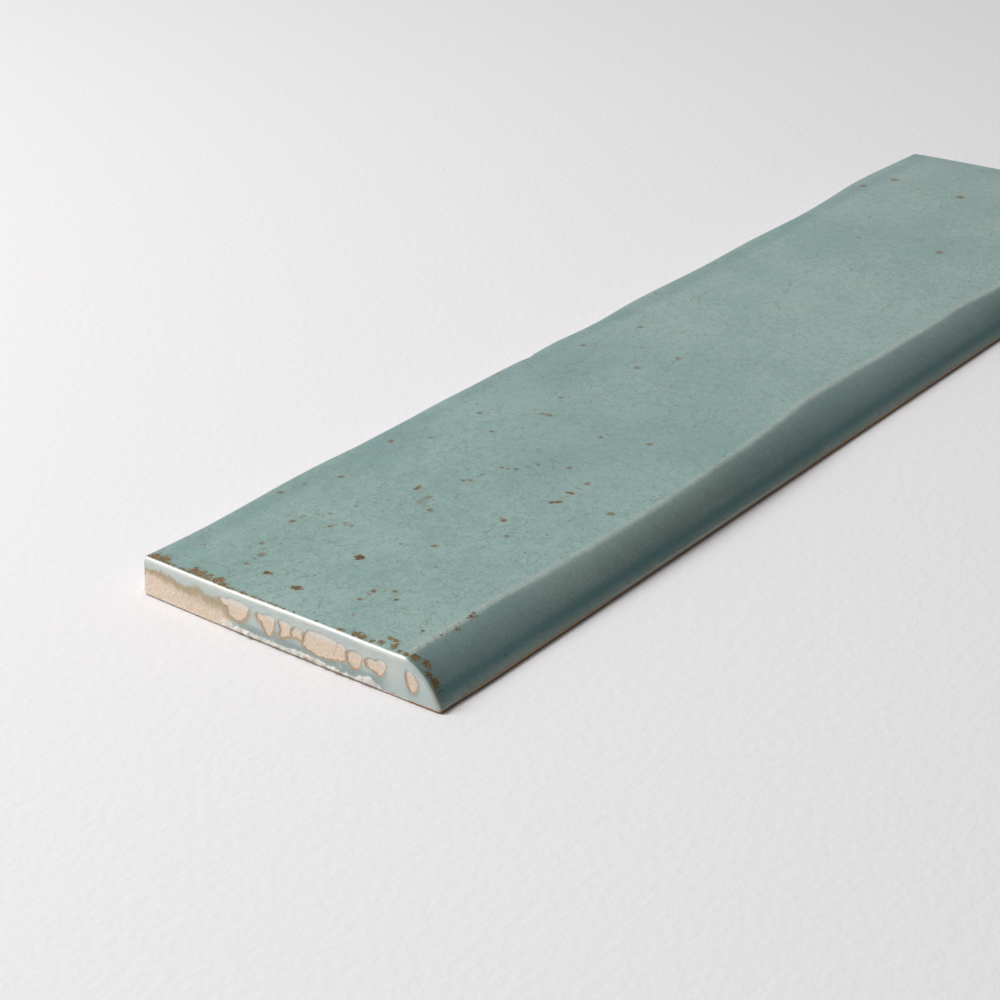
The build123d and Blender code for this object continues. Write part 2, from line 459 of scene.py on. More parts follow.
def plain_skin():
    """The tile's smooth skin, before any relief: points in millimetres, and faces."""
    tile = TileMesh()
    half = LENGTH / 2
    feet = {"plain": [], "nose": []}
    earlier = None
    caps = []
    all_stations = stations()
    for index, (distance, depth, coarse) in enumerate(all_stations):
        nominal = distance - half
        outline = outline_at(nominal, depth)
        if coarse:
            outline = outline[::2]
        x = nominal * (1 - end_inset(outline[:, 0], outline[:, 1], nominal) / half)
        ring = tile.add(np.column_stack([x, outline]))
        if index == 0:
            caps.append(end_cap(tile, ring, outline, -1))
        if index == len(all_stations) - 1:
            caps.append(end_cap(tile, ring, outline, 1))
        if earlier:
            tile.strip(earlier, ring)
        earlier = ring
        feet["plain"].append(ring[0])
        feet["nose"].append(ring[-1])

    near_row, far_row = caps
    rim = near_row[:-1] + feet["nose"][:-1] + far_row[::-1][:-1] + feet["plain"][::-1][:-1]
    add_back(tile, rim)
    return np.array(tile.points), tile.faces


def noise_at(points, size, seed):
    """Smooth noise from about -1 to 1 at each point, with lumps of the given size."""
    shifted = points / size + np.array([seed * 7.3, seed * 3.1, seed * 5.7])
    return np.array([noise.noise(point) for point in shifted.tolist()])


def along_border(border, across):
    """Height of a border at each place across the tile."""
    places, heights = zip(*sorted(border))
    return np.interp(across, places, heights)


def depth_inside(across, height, corners):
    """How far inside an outline each place is, in millimetres. Outside it is less than 0."""
    places = np.stack([across, height], axis=1)
    nearest = np.full(len(places), np.inf)
    inside = np.zeros(len(places), dtype=bool)
    for start, end in zip(np.array(corners), np.array(corners[1:] + corners[:1])):
        edge = end - start
        share = np.clip((places - start) @ edge / (edge @ edge), 0, 1)
        gap = np.linalg.norm(places - start - share[:, None] * edge, axis=1)
        nearest = np.minimum(nearest, gap)
        if edge[1]:
            spans = (start[1] > height) != (end[1] > height)
            inside ^= spans & (across < start[0] + (height - start[1]) * edge[0] / edge[1])
    return np.where(inside, nearest, -nearest)


class Skin:
    """The points of the skin, how far each is from both ends, and which side it is on."""

    def __init__(self, points, normals):
        x, y, z = points.T
        self.points, self.normals = points, normals
        self.x, self.y, self.z = x, y, z
        self.near = x + LENGTH / 2 - end_inset(y, z, -1)
        self.far = LENGTH / 2 - end_inset(y, z, 1) - x
        self.on_near = smooth(*ON_SIDE, -normals[:, 0])
        self.on_far = smooth(*ON_SIDE, normals[:, 0])
        self.on_plain = smooth(*ON_SIDE, normals[:, 1])
        self.on_nose = (y < crest_y(x) - 0.3) * (1 - self.on_near) * (1 - self.on_far)
        self.on_top = smooth(0.3, 0.7, normals[:, 2]) * (1 - self.on_nose)
        self.over_edge = -normals[:, 0] * (self.near < EDGE_REACH)
        self.streaks = noise_at(points * [1, 1, 0.25], 0.9, 3)

    def noise(self, size, seed):
        return noise_at(self.points, size, seed)


def patch_depth(skin):
    """How far inside a bare patch each point is, and how far from the crack across one."""
    patch = np.maximum.reduce([depth_inside(skin.y, skin.z, each) for each in BARE_PATCHES])
    crack = -depth_inside(skin.y, skin.z, PATCH_CRACK)
    ragged = 0.2 * skin.noise(1.1, 1) + 0.16 * skin.noise(0.55, 2)
    patch += ragged - 0.35 * bell(crack, CRACK_WIDTH)
    return patch, crack


def left_of_end(skin):
    """The near end's left part, where the glaze gives way to clay by degrees.

    Returns how far down that way each point is, what is part of it, and the end with its corner.
    """
    y, z = skin.y, skin.z
    glaze_end = along_border(GLAZE_BORDER, y) + 0.35 * skin.streaks
    clay_start = along_border(CLAY_BORDER, y) + 0.3 * skin.streaks
    below = (glaze_end - z) / np.maximum(glaze_end - clay_start, 0.3)
    corner = (y > CORNER_START) * (skin.near < 2.2) * smooth(0.6, 0.4, skin.normals[:, 2])
    return below, smooth(12.6, 14.6, y), np.maximum(skin.on_near, corner)


def unseen_sides(skin):
    """The far end and plain side: how far below the glaze's wavy end each point is, and where."""
    border = UNSEEN_GLAZE_END + 1.0 * skin.noise(9.0, 4)
    border += 0.4 * skin.noise(2.5, 5)
    border += (CORNER_GLAZE_END - border) * smooth(12.0, 2.0, skin.near)
    sides = np.maximum(skin.on_far, skin.on_plain * smooth(0.5, 2.5, skin.near))
    return (border - skin.z) / 1.6, sides


def stained_clay_and_shade(skin, patch, crack, foot):
    """Brown stain round the foot, at two chips, under the patches and at the lower corner. The
    brown outline round the lower part of each patch is partly painted shade at its sunken edge.
    """
    y, z = skin.y, skin.z
    stain_and_shade = foot * np.maximum(skin.on_nose, skin.on_near * 0.75)
    chips = bell(y + 5.8, 1.6) * bell(z - 0.8, 0.3) + bell(y + 26.0, 0.6) * bell(z - 0.75, 0.2)
    # brown outline round the lower part of each patch: an oxidised rim, and partly painted shade at
    # the sunken edge
    patch_rim_and_shade = bell(patch + 0.05, 0.16) * smooth(6.6, 5.0, z) * 0.7
    patch_rim_and_shade += 0.6 * bell(crack, CRACK_WIDTH)
    stain_and_shade = np.maximum(stain_and_shade, np.maximum(smooth(0.4, 0.7, chips), patch_rim_and_shade) * skin.on_near)
    lower_edge = bell(-skin.normals[:, 0] - 0.4, 0.2) * (skin.near < EDGE_REACH)
    lower_edge *= smooth(-31.5, -34.0, y)
    return np.maximum(stain_and_shade, 0.6 * lower_edge * smooth(5.0, 3.0, z))


def bare_clay(skin, patch, crack):
    """Bare clay and what lies beside it, and the bare patches on their own."""
    y, z, on_near, streaks = skin.y, skin.z, skin.on_near, skin.streaks
    below_glaze, on_left, on_end = left_of_end(skin)
    below_unseen, unseen = unseen_sides(skin)

    patch_bare = smooth(-0.06, 0.1, patch) * on_near
    foot = smooth(-0.05, 0.08, FOOT_HEIGHT + 0.1 * skin.noise(3.0, 6) - z)
    left_bare = smooth(0.25, 1.5, below_glaze + 0.25 * streaks) * on_left * on_end
    unseen_bare = smooth(0.45, 1.25, below_unseen + 0.15 * streaks) * unseen

    # glaze thinned to a tan film
    halo_reach = 0.4 + 0.9 * smooth(-8, 12, y)
    halo = bell(np.minimum(patch, 0) / halo_reach, 1.0) * smooth(7.0, 5.6, z)
    halo *= smooth(1.8, 2.6, z)
    tan = np.maximum(smooth(-0.4, 0.3, below_glaze) * on_left, 0.7 * halo) * on_end
    # less tan film down the upright corner, where the painted highlight lies
    tan *= 1 - 0.8 * smooth(CORNER_START, 36.8, y)
    tan = np.maximum(tan, smooth(-0.7, 0.5, below_unseen) * unseen)

    # white glaze over the patches' upper rims, partly painted highlight on their lips, and a
    # painted highlight down the upright corner, where the key light falls
    upper_rim = (1 - smooth(0.3, 0.7, patch)) * smooth(4.8, 5.6, z + 0.4 * streaks)
    white_lip_and_highlight = np.maximum(smooth(5.5, 6.2, z - 0.6 * streaks), upper_rim)
    white_lip_and_highlight *= smooth(0.0, 0.15, patch) * on_near
    lit_corner_highlight = 0.6 * smooth(CORNER_START, 36.9, y) * (skin.near < 2.5)

    masks = {
        "bare": np.maximum(patch_bare, foot),
        "worn": np.maximum(left_bare, unseen_bare),
        "stain_and_shade": stained_clay_and_shade(skin, patch, crack, foot),
        "tan": tan,
        "white_lip_and_highlight": np.maximum(white_lip_and_highlight, lit_corner_highlight),
    }
    return masks, patch_bare


def end_crust(skin):
    """The dry crust along the foot of the near end, and the lumps in it."""
    lumps = skin.noise(1.6, 13) + 0.6 * skin.noise(0.7, 16)
    top = 0.9 * along_border(CRUST_TOP, skin.y) + 0.2 * skin.noise(0.8, 7)
    top += 0.15 * lumps
    crust = smooth(-0.08, 0.25, top - skin.z) * skin.on_near * smooth(0.4, 0.7, top)
    return crust * (0.8 + 0.25 * lumps), lumps


def end_haze(skin):
    """Paler glaze on the near end, palest under its upper edge."""
    y, z = skin.y, skin.z
    upper = smooth(5.4, 7.6, z + 0.6 * skin.streaks) * smooth(-8.0, 26.0, y)
    haze = 0.5 + 0.9 * noise_at(skin.points * [1, 1, 0.6], 3.5, 15)
    haze = np.maximum(haze, 1.5 * bell(y + 26.5, 2.4) + 1.2 * bell(y + 32.8, 1.0))
    return skin.on_near * np.clip(np.maximum(upper, 0.63 * haze * smooth(1.5, 5.0, z)), 0, 1)


def broken_lines(skin):
    """The white line where glaze broke over the near edge, and fainter ones elsewhere, all
    partly painted highlight where the light catches the rounded edges.
    """
    x, y, z, near = skin.x, skin.y, skin.z, skin.near
    on_round = smooth(-28.4, -29.6, y)
    uneven = 0.12 * skin.noise(2.5, 14)
    turn = skin.over_edge + uneven
    line = smooth(0.17 + 0.23 * on_round, 0.48 + 0.17 * on_round, turn)
    line *= 1 - smooth(0.81 - 0.11 * on_round, 0.975 - 0.11 * on_round, turn)
    line *= smooth(0.9, 1.5, z) * (0.92 - 0.5 * on_round + uneven)

    # pale lines along the crest, the plain edge and above the foot: thin glaze and partly painted
    # highlight
    crest_line = bell(y - crest_y(x) - 0.3, 0.75) * (near > 1.0) * (skin.far > 1.0)
    crest_worn = 0.75 + 0.35 * skin.noise(9.0, 8) + 0.3 * skin.noise(0.9, 9)
    sideways = skin.normals[:, 1]
    plain_line = smooth(0.3, 0.6, sideways) * (1 - smooth(0.8, 0.95, sideways)) * (z > 5)
    foot_line = bell(z - 1.1, 0.3) * skin.on_nose * (near > 1.0)
    fainter = [0.34 * crest_line * crest_worn, 0.3 * plain_line, 0.2 * foot_line]
    return np.maximum.reduce([line, *fainter])


def deep_glaze_and_shade(skin):
    """Deep glaze in runs along the foot and the edges, and in broad clouds, all partly
    painted shade of the bullnose, the plain edge and the face's gentle waves.
    """
    x, y, z, on_nose, on_top = skin.x, skin.y, skin.z, skin.on_nose, skin.on_top
    above_foot = smooth(1.5, 2.9, z)
    # deep glaze low on the bullnose, partly painted shade, darker still towards its ends
    pool = 0.9 * on_nose * smooth(5.0, 3.1, z) * above_foot
    deeper = smooth(-75.0, -20.0, x) + smooth(-108.0, -122.0, x)
    pool = np.maximum(pool, (0.12 + 0.28 * deeper) * on_nose * above_foot)
    # deep glaze along the plain edge and near the far end, partly painted shade
    edge_run = np.minimum(bell(y - 33.0, 2.6) + 0.8 * bell(skin.far - 4.5, 3.0), 1)
    uneven = 0.75 + 0.4 * skin.noise(8.0, 10)
    pool = np.maximum(pool, 0.5 * edge_run * on_top * uneven)
    # broad clouds in the deep colour, partly painted shade of the face's gentle waves
    for middle_x, middle_y, reach_x, reach_y, strength in DEEP_AND_SHADED_AREAS:
        cloud = bell(np.hypot((x - middle_x) / reach_x, (y - middle_y) / reach_y), 1.0)
        pool = np.maximum(pool, strength * cloud * on_top)
    return pool


def deep_end_glaze(skin, patch, crust):
    """Deep glaze on the near end, above the crust and under the bare patches."""
    y, z = skin.y, skin.z
    low = skin.on_near * smooth(3.6, 2.4, z) * (1 - crust) * smooth(14, 10, y)
    low *= smooth(-26, -22, y)
    under_patch = bell(np.minimum(patch, 0), 0.8) * (patch < 0) * smooth(6.0, 3.0, z)
    return np.maximum(low, skin.on_near * under_patch * 0.75)


def edge_iron(skin):
    """Iron along the near edge and the crest, thinning out away from them."""
    x, y = skin.x, skin.y
    rust = np.zeros(len(skin.points))
    for spot_x, spot_y, radius, strength in RIM_IRON:
        inside = np.clip(1.25 - 0.85 * np.hypot(x - spot_x, y - spot_y) / radius, 0, 1)
        rust = np.maximum(rust, inside * (0.55 + 0.45 * strength))
    edge_stain = bell(skin.near - 0.9, 0.4) * (0.4 + 0.38 * smooth(-6, 9, y))
    crest_stain = bell(y - crest_y(x), 0.6) * smooth(-95, -146, x) * 0.36
    rust = np.maximum.reduce([rust, edge_stain, crest_stain])
    rust *= (1 - smooth(0.2, 0.5, skin.over_edge)) * smooth(2.0, 3.5, skin.z)
    return rust


def glaze_layers(points, normals):
    """What lies on the clay at each point, each from 0 to 1, and how far it stands proud."""
    skin = Skin(points, normals)
    patch, crack = patch_depth(skin)
    masks, patch_bare = bare_clay(skin, patch, crack)
    crust, lumps = end_crust(skin)
    masks.update(
        crust=crust, milk=skin.on_near, nose=skin.on_nose, pale=end_haze(skin),
        broken=broken_lines(skin), pool=deep_glaze_and_shade(skin),
        pool_end=deep_end_glaze(skin, patch, crust), rust=edge_iron(skin),
    )

    # soft unevenness all over, sunken patches with lips, and the raised crust and foot
    proud = 0.05 * noise_at(points, 17.0, 11) + 0.015 * noise_at(points, 5.0, 12)
    proud -= 0.11 * patch_bare + 0.08 * masks["worn"]
    proud += 0.06 * bell(np.minimum(patch, 0) + 0.25, 0.22) * (patch < 0.05) * skin.on_near
    proud += 0.22 * crust * (1 + 1.1 * lumps)
    proud += 0.16 * bell(skin.z - 1.1, 0.5) * skin.on_nose
    return masks, proud


def nearest_spots(points):
    """For each point the nearest iron spot: its place and radius as a vector, and its strength.

    Away from every spot the radius is 0.
    """
    x, y, z = points.T
    spots = np.array(IRON_SPOTS)
    gaps = np.hypot(x[:, None] - spots[:, 0], y[:, None] - spots[:, 1]) - spots[:, 2]
    chosen = spots[np.argmin(gaps, axis=1)]
    radius = np.where((gaps.min(axis=1) < 2.5) & (z > 3), chosen[:, 2], 0.0)
    return np.column_stack([chosen[:, :2], radius]), chosen[:, 3]


def linear(hex_colour):
    """A colour written as sRGB hex, as the linear values that Blender takes."""
    channels = [int(hex_colour[n : n + 2], 16) / 255 for n in (1, 3, 5)]
    return [c / 12.92 if c <= 0.04045 else ((c + 0.055) / 1.055) ** 2.4 for c in channels]


def add_node(tree, kind, inputs=None, **settings):
    """Adds a node, makes its settings, and gives each named input a value or a link."""
    node = tree.nodes.new(kind)
    for name, value in settings.items():
        setattr(node, name, value)
    for name, value in (inputs or {}).items():
        if isinstance(value, bpy.types.NodeSocket):
            tree.links.new(value, node.inputs[name])
        else:
            node.inputs[name].default_value = value
    return node


def new_material(name):
    """A material with an empty node tree."""
    material = bpy.data.materials.new(name)
    material.use_nodes = True
    material.node_tree.nodes.clear()
    return material, material.node_tree


def colour_setting(name, description, hex_colour):
    """A colour that the user can change."""
    return bpy.props.FloatVectorProperty(
        name=name, description=description, subtype="COLOR", size=3, min=0, max=1,
        default=linear(hex_colour))


class GlazeSettings(bpy.types.PropertyGroup):
    """Colours and pattern sizes of the crackled glaze and the clay under it."""

    glaze: colour_setting("Glaze", "Blue-green of the glaze where it lies evenly", "#7D9C97")
    glaze_milky: colour_setting("Milky glaze", "Paler clouds in the glaze", "#90AAA5")
    # Also painted shade: the deep colour darkens the lower bullnose and broad areas of the face
    glaze_deep_and_shade: colour_setting("Deep glaze", "Glaze that ran together and lies thick", "#5C8386")
    # Painted shade: a grey-brown tint over the bullnose, the side turned away from the light
    nose_shade_tint: colour_setting(
        "Thin glaze", "Grey-brown that shows through on the bullnose", "#7C7468")
    glaze_end: colour_setting("End glaze", "Thinner, paler glaze on the near end", "#B8C6C3")
    glaze_pale: colour_setting(
        "Pale glaze", "Palest glaze, under the upper edge of the near end", "#C9CFC9")
    glaze_end_deep: colour_setting(
        "Deep end glaze", "Glaze that ran together on the near end", "#93A3A0")
    # Partly painted highlight: the pale lines along the edges also stand for the light caught there
    broken: colour_setting(
        "Broken glaze", "Glaze so thin on an edge that the white under it shows", "#E0DFD8")
    film: colour_setting("Film", "Tan film of glaze beside bare clay", "#B5A284")
    # Also the colour of the painted highlight on the patches' lips and down the upright corner
    crust: colour_setting(
        "Crust", "Pale crust of dry glaze along the foot of the near end", "#E2DDD3")
    speck: colour_setting("Specks", "Olive tan of the finest specks", "#7F764F")
    iron: colour_setting("Iron", "Ochre brown of the iron spots and stained edges", "#806130")
    iron_dark: colour_setting(
        "Dark iron", "Dark brown in the middle of the iron spots and stains", "#4A3B1E")
    crackle: colour_setting("Crackle", "Stain in the hairlines of the crackle", "#5B6852")
    biscuit: colour_setting("Biscuit", "Bare fired clay", "#EAD7C4")
    biscuit_dark: colour_setting("Dark biscuit", "Darker grains of the bare clay", "#D6BFA6")
    # Also the brown outlines of the bare patches, partly painted shade
    biscuit_foot: colour_setting("Foot", "Stained clay round the foot of the tile", "#BC9066")
    crackle_cell: bpy.props.FloatProperty(
        name="Crackle cell", description="Usual distance between crackle lines, in millimetres",
        min=1, default=7)
    gloss: bpy.props.FloatProperty(
        name="Glaze roughness", description="0 is mirror bright, 1 is dull",
        subtype="FACTOR", min=0, max=1, default=0.2)


class StageSettings(bpy.types.PropertyGroup):
    """The floor, the lamps and the camera."""

    floor: colour_setting("Floor", "Colour of the plain floor", "#E8E6E7")
    floor_size: bpy.props.FloatProperty(
        name="Floor size", description="Length of each side of the floor",
        unit="LENGTH", min=1, default=8)
    key_power: bpy.props.FloatProperty(
        name="Key light", description="Power of the large soft light to the left of the camera",
        subtype="POWER", min=0, default=13.4)
    room: bpy.props.FloatProperty(
        name="Room light", description="Brightness of the bright side of the room",
        min=0, default=0.55)
    room_dark: bpy.props.FloatProperty(
        name="Dark side", description="Brightness of the room's dark side, right of the camera",
        min=0, default=0.04)
    lens: bpy.props.FloatProperty(
        name="Lens", description="Focal length of the camera for a 36 mm wide picture",
        unit="CAMERA", min=1, default=83.03)


def glaze_material(settings):
    """Crackled earthenware glaze over pale biscuit.

    The real one is a satin-bright, half-clear white glaze coloured with copper, dipped over a
    pale clay and fired until it crazed. The eye sees soft clouds, fine stained hairlines, brown
    iron specks, a pale line where the glaze broke over each edge, deeper blue where it ran
    together, and dry peach clay where it crawled back. Here the pale edge lines are partly painted
    highlight, the deeper blue partly painted shade, and the grey-brown over the bullnose painted
    shade.
    """
    material, tree = new_material("crackled_glaze_on_biscuit")

    def node(kind, inputs=None, **settings):
        return add_node(tree, kind, inputs, **settings)

    def vector_math(operation, a, b):
        second = {"Scale": b} if operation == "SCALE" else {1: b}
        return node("ShaderNodeVectorMath", {0: a, **second}, operation=operation).outputs[0]

    def math_of(operation, a, b):
        return node("ShaderNodeMath", {0: a, 1: b}, operation=operation).outputs[0]

    def times(a, b):
        return math_of("MULTIPLY", a, b)

    def plus(a, b):
        return math_of("ADD", a, b)

    def mask(name, output="Fac"):
        return node("ShaderNodeAttribute", attribute_name=name).outputs[output]

    def ramp(value, low, high, to_low=0.0, to_high=1.0):
        inputs = {
            "Value": value, "From Min": low, "From Max": high, "To Min": to_low, "To Max": to_high,
        }
        return node("ShaderNodeMapRange", inputs, interpolation_type="SMOOTHSTEP").outputs[0]

    def laid_over(factor, under, over):
        return node("ShaderNodeMix", {0: factor, 6: under, 7: over}, data_type="RGBA").outputs[2]

    def colour(name):
        return [*getattr(settings, name), 1.0]

    # places in millimetres
    coordinates = node("ShaderNodeTexCoord").outputs["Object"]
    place = vector_math("SCALE", coordinates, 1 / MM)

    def clouds(size, detail=2.0, output="Fac"):
        values = {"Vector": place, "Scale": 1 / size, "Detail": detail}
        return node("ShaderNodeTexNoise", values).outputs[output]

    # soft clouds and a fine grain in the glaze
    grain = clouds(0.55, 3.0)
    mottle = times(clouds(16.0, 3.0), 0.35)
    for size, share in ((2.2, 0.25), (0.55, 0.4)):
        mottle = plus(mottle, times(clouds(size, 2.0), share))
    shade = laid_over(ramp(mottle, 0.4, 0.6), colour("glaze"), colour("glaze_milky"))
    # painted shade: a grey-brown tint over the bullnose, the side turned away from the light
    shade = laid_over(times(mask("nose"), 0.26), shade, colour("nose_shade_tint"))
    # deep glaze, partly painted shade on the bullnose and in broad areas of the face
    shade = laid_over(mask("pool"), shade, colour("glaze_deep_and_shade"))

    # hairlines wander, break off and fade: size of the cells, width, strength, size of the breaks
    sway = vector_math("SUBTRACT", clouds(3.0, 3.0, "Color"), (0.5, 0.5, 0.5))
    crooked = vector_math("ADD", place, vector_math("SCALE", sway, 1.1))
    calm = math_of("MAXIMUM", mask("milk"), times(mask("nose"), 0.5))
    on_face = math_of("SUBTRACT", 1.0, calm)
    lines = None
    for size, width, strength, patchiness in (
        (settings.crackle_cell * 1.5, 0.014, 0.46, 4.5),
        (settings.crackle_cell * 0.85, 0.024, 0.4, 2.6),
        (settings.crackle_cell * 0.45, 0.04, 0.36, 1.6),
    ):
        values = {"Vector": crooked, "Scale": 1 / size}
        cells = node("ShaderNodeTexVoronoi", values, feature="DISTANCE_TO_EDGE").outputs["Distance"]
        shown = ramp(clouds(patchiness, 2.0), 0.42, 0.62, 0.0, strength)
        line = times(ramp(cells, 0.0, width, 1.0, 0.0), shown)
        lines = math_of("MAXIMUM", lines, line) if lines else line
    lines = times(lines, on_face)
    shade = laid_over(lines, shade, colour("crackle"))

    # iron specks, many small and pale, few larger and dark
    for size, radius, rarity, strength, tint in (
        (1.2, 0.32, 0.3, 0.75, "speck"),
        (2.2, 0.2, 0.35, 0.7, "iron"),
        (5.0, 0.1, 0.4, 0.9, "iron_dark"),
    ):
        dots = node("ShaderNodeTexVoronoi", {"Vector": crooked, "Scale": 1 / size}, feature="F1")
        chance = node("ShaderNodeSeparateColor", {0: dots.outputs["Color"]}).outputs
        reach = ramp(chance[0], rarity, 1.0, 0.0, radius)
        depth = math_of("SUBTRACT", reach, dots.outputs["Distance"])
        speck = times(ramp(depth, 0.0, 0.04), times(chance[1], strength))
        shade = laid_over(times(speck, on_face), shade, colour(tint))

    # larger iron spots at their own places, with a dark middle
    ragged = math_of("SUBTRACT", clouds(0.9, 4.0), 0.5)
    spot = node("ShaderNodeSeparateXYZ", {0: mask("spot", "Vector")}).outputs
    here = node("ShaderNodeSeparateXYZ", {0: place}).outputs
    away = [math_of("SUBTRACT", here[axis], spot[axis]) for axis in (0, 1)]
    squares = [times(part, part) for part in away]
    distance = math_of("SQRT", plus(*squares), 0.0)
    depth = math_of("SUBTRACT", spot[2], distance)
    depth = plus(depth, times(times(ragged, spot[2]), 1.7))
    strength = mask("spot_strength")
    shade = laid_over(times(ramp(depth, -0.2, 0.25), strength), shade, colour("iron"))
    middle = times(ramp(depth, 0.1, 0.45), strength)
    shade = laid_over(middle, shade, colour("iron_dark"))

    # the near end
    shade = laid_over(mask("milk"), shade, colour("glaze_end"))
    shade = laid_over(mask("pool_end"), shade, colour("glaze_end_deep"))
    shade = laid_over(mask("pale"), shade, colour("glaze_pale"))
    fine = clouds(0.4, 3.0)
    speckle = math_of("SUBTRACT", fine, 0.5)
    film = ramp(plus(mask("tan"), times(speckle, 1.1)), 0.1, 1.0)
    film_colour = laid_over(ramp(fine, 0.5, 0.7, 0.0, 0.6), colour("film"), colour("speck"))
    shade = laid_over(film, shade, film_colour)
    # glaze broken white over the edges, partly painted highlight
    shade = laid_over(mask("broken"), shade, colour("broken"))

    # iron along the near edge, ochre mottled with dark brown
    rust = plus(mask("rust"), times(ragged, 1.1))
    rust = plus(rust, times(speckle, 1.6))
    mottled = laid_over(ramp(clouds(0.8, 3.0), 0.48, 0.64), colour("iron"), colour("speck"))
    mottled = laid_over(ramp(fine, 0.49, 0.63), mottled, colour("iron_dark"))
    shade = laid_over(ramp(rust, 0.3, 0.75), shade, mottled)

    # bare clay and dry crust
    clay = laid_over(ramp(grain, 0.3, 0.8), colour("biscuit"), colour("biscuit_dark"))
    # white on the patches' upper rims, partly painted highlight, and painted highlight down the
    # upright corner
    clay = laid_over(mask("white_lip_and_highlight"), clay, colour("crust"))
    bare = ramp(plus(mask("bare"), times(ragged, 0.4)), 0.4, 0.6)
    bare = math_of("MAXIMUM", bare, ramp(plus(mask("worn"), speckle), 0.0, 1.0))
    shade = laid_over(bare, shade, clay)
    crust = ramp(plus(mask("crust"), times(ragged, 0.9)), 0.2, 0.8)
    shade = laid_over(crust, shade, colour("crust"))
    # brown stain, and partly painted shade in the outlines of the patches
    shade = laid_over(mask("stain_and_shade"), shade, colour("biscuit_foot"))

    # dry clay and crust are dull and grainy
    dry = math_of("MAXIMUM", bare, times(crust, 0.6))
    rough = ramp(dry, 0.0, 1.0, settings.gloss, 0.85)
    grit = times(times(dry, grain), 0.12)
    height = plus(plus(times(lines, -0.015), grit), times(clouds(1.6, 2.0), 0.012))
    bump = node("ShaderNodeBump", {"Height": height, "Strength": 1.0, "Distance": MM}).outputs[0]
    values = {"Base Color": shade, "Roughness": rough, "IOR": 1.5, "Normal": bump}
    shader = node("ShaderNodeBsdfPrincipled", values)
    node("ShaderNodeOutputMaterial", {"Surface": shader.outputs[0]})
    return material


def make_mesh(name, points, faces, masks, spots, strengths):
    """A smooth-shaded mesh in metres that carries the masks and the spots at each point."""
    mesh = bpy.data.meshes.new(name)
    mesh.from_pydata((points * MM).tolist(), [], faces)
    for layer, values in {**masks, "spot_strength": strengths}.items():
        attribute = mesh.attributes.new(layer, "FLOAT", "POINT")
        attribute.data.foreach_set("value", values.astype(np.float32))
    attribute = mesh.attributes.new("spot", "FLOAT_VECTOR", "POINT")
    attribute.data.foreach_set("vector", spots.astype(np.float32).ravel())
    mesh.polygons.foreach_set("use_smooth", [True] * len(mesh.polygons))
    mesh.update()
    mesh.validate()
    return mesh


def normals_of(points, faces):
    """The direction square to the skin at each point."""
    mesh = bpy.data.meshes.new("measure")
    mesh.from_pydata(points.tolist(), [], faces)
    normals = np.zeros(len(points) * 3, dtype=np.float32)
    mesh.vertex_normals.foreach_get("vector", normals)
    bpy.data.meshes.remove(mesh)
    return normals.reshape(-1, 3).astype(float)


class MakeTile(bpy.types.Operator):
    """Make the glazed bullnose tile with its relief, and put it in place of the plain solid"""

    bl_idname = "tile.make_tile"
    bl_label = "Make Tile"

    def execute(self, context):
        points, faces = plain_skin()
        normals = normals_of(points, faces)
        masks, proud = glaze_layers(points, normals)
        proud[points[:, 2] < BACK_BEVEL + 0.01] = 0.0
        spots, strengths = nearest_spots(points)
        points = points + normals * proud[:, None]
        mesh = make_mesh("glazed_tile", points, faces, masks, spots, strengths)
        tile = bpy.data.objects.new("glazed_tile", mesh)
        context.scene.collection.objects.link(tile)
        mesh.materials.append(glaze_material(context.scene.tile_glaze))
        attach(tile, "root")
        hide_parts(NODE)
        return {"FINISHED"}


def floor_material(settings):
    """Matt painted board, pale and even, with the faint tooth of rolled paint."""
    material, tree = new_material("matt_painted_board")
    place = add_node(tree, "ShaderNodeTexCoord").outputs["Object"]
    tooth = add_node(
        tree, "ShaderNodeTexNoise",
        {"Vector": place, "Scale": 1 / (PAINT_TOOTH * MM), "Detail": 3.0},
    )
    bump = add_node(
        tree, "ShaderNodeBump", {"Height": tooth.outputs["Fac"], "Strength": 0.12, "Distance": MM}
    )
    shader = add_node(
        tree, "ShaderNodeBsdfPrincipled",
        {"Base Color": [*settings.floor, 1.0], "Roughness": 0.9, "Normal": bump.outputs[0]},
    )
    add_node(tree, "ShaderNodeOutputMaterial", {"Surface": shader.outputs[0]})
    return material


# The key light stands to the left of the camera, half way up the sky. The room is bright at the
# far left, and fades between the two shares of facing that way.
KEY_DIRECTION = Vector((-0.63, 0.78, 1.04)).normalized()
KEY_DISTANCE = 1.25
KEY_SIZE = 0.6
ROOM_BRIGHT_SIDE = Vector((0.15, 0.8, 0.55)).normalized()
ROOM_DARK_SHARE = -0.45
ROOM_BRIGHT_SHARE = 0.85

# Size of the tooth of the floor's paint, in millimetres
PAINT_TOOTH = 2.0

# The camera, in metres and degrees, as the photo was taken
CAMERA_PLACE = Vector((-0.40969, -0.25958, 0.21086))
CAMERA_TURN = math.radians(38.72)
CAMERA_TIP = math.radians(26.348)
CAMERA_ROLL = math.radians(-1.457)


def make_floor(settings):
    """The plain floor under the tile."""
    half = settings.floor_size / 2
    corners = [(-half, -half, 0), (half, -half, 0), (half, half, 0), (-half, half, 0)]
    mesh = bpy.data.meshes.new("floor")
    mesh.from_pydata(corners, [], [(0, 1, 2, 3)])
    floor = bpy.data.objects.new("floor", mesh)
    mesh.materials.append(floor_material(settings))
    bpy.context.scene.collection.objects.link(floor)


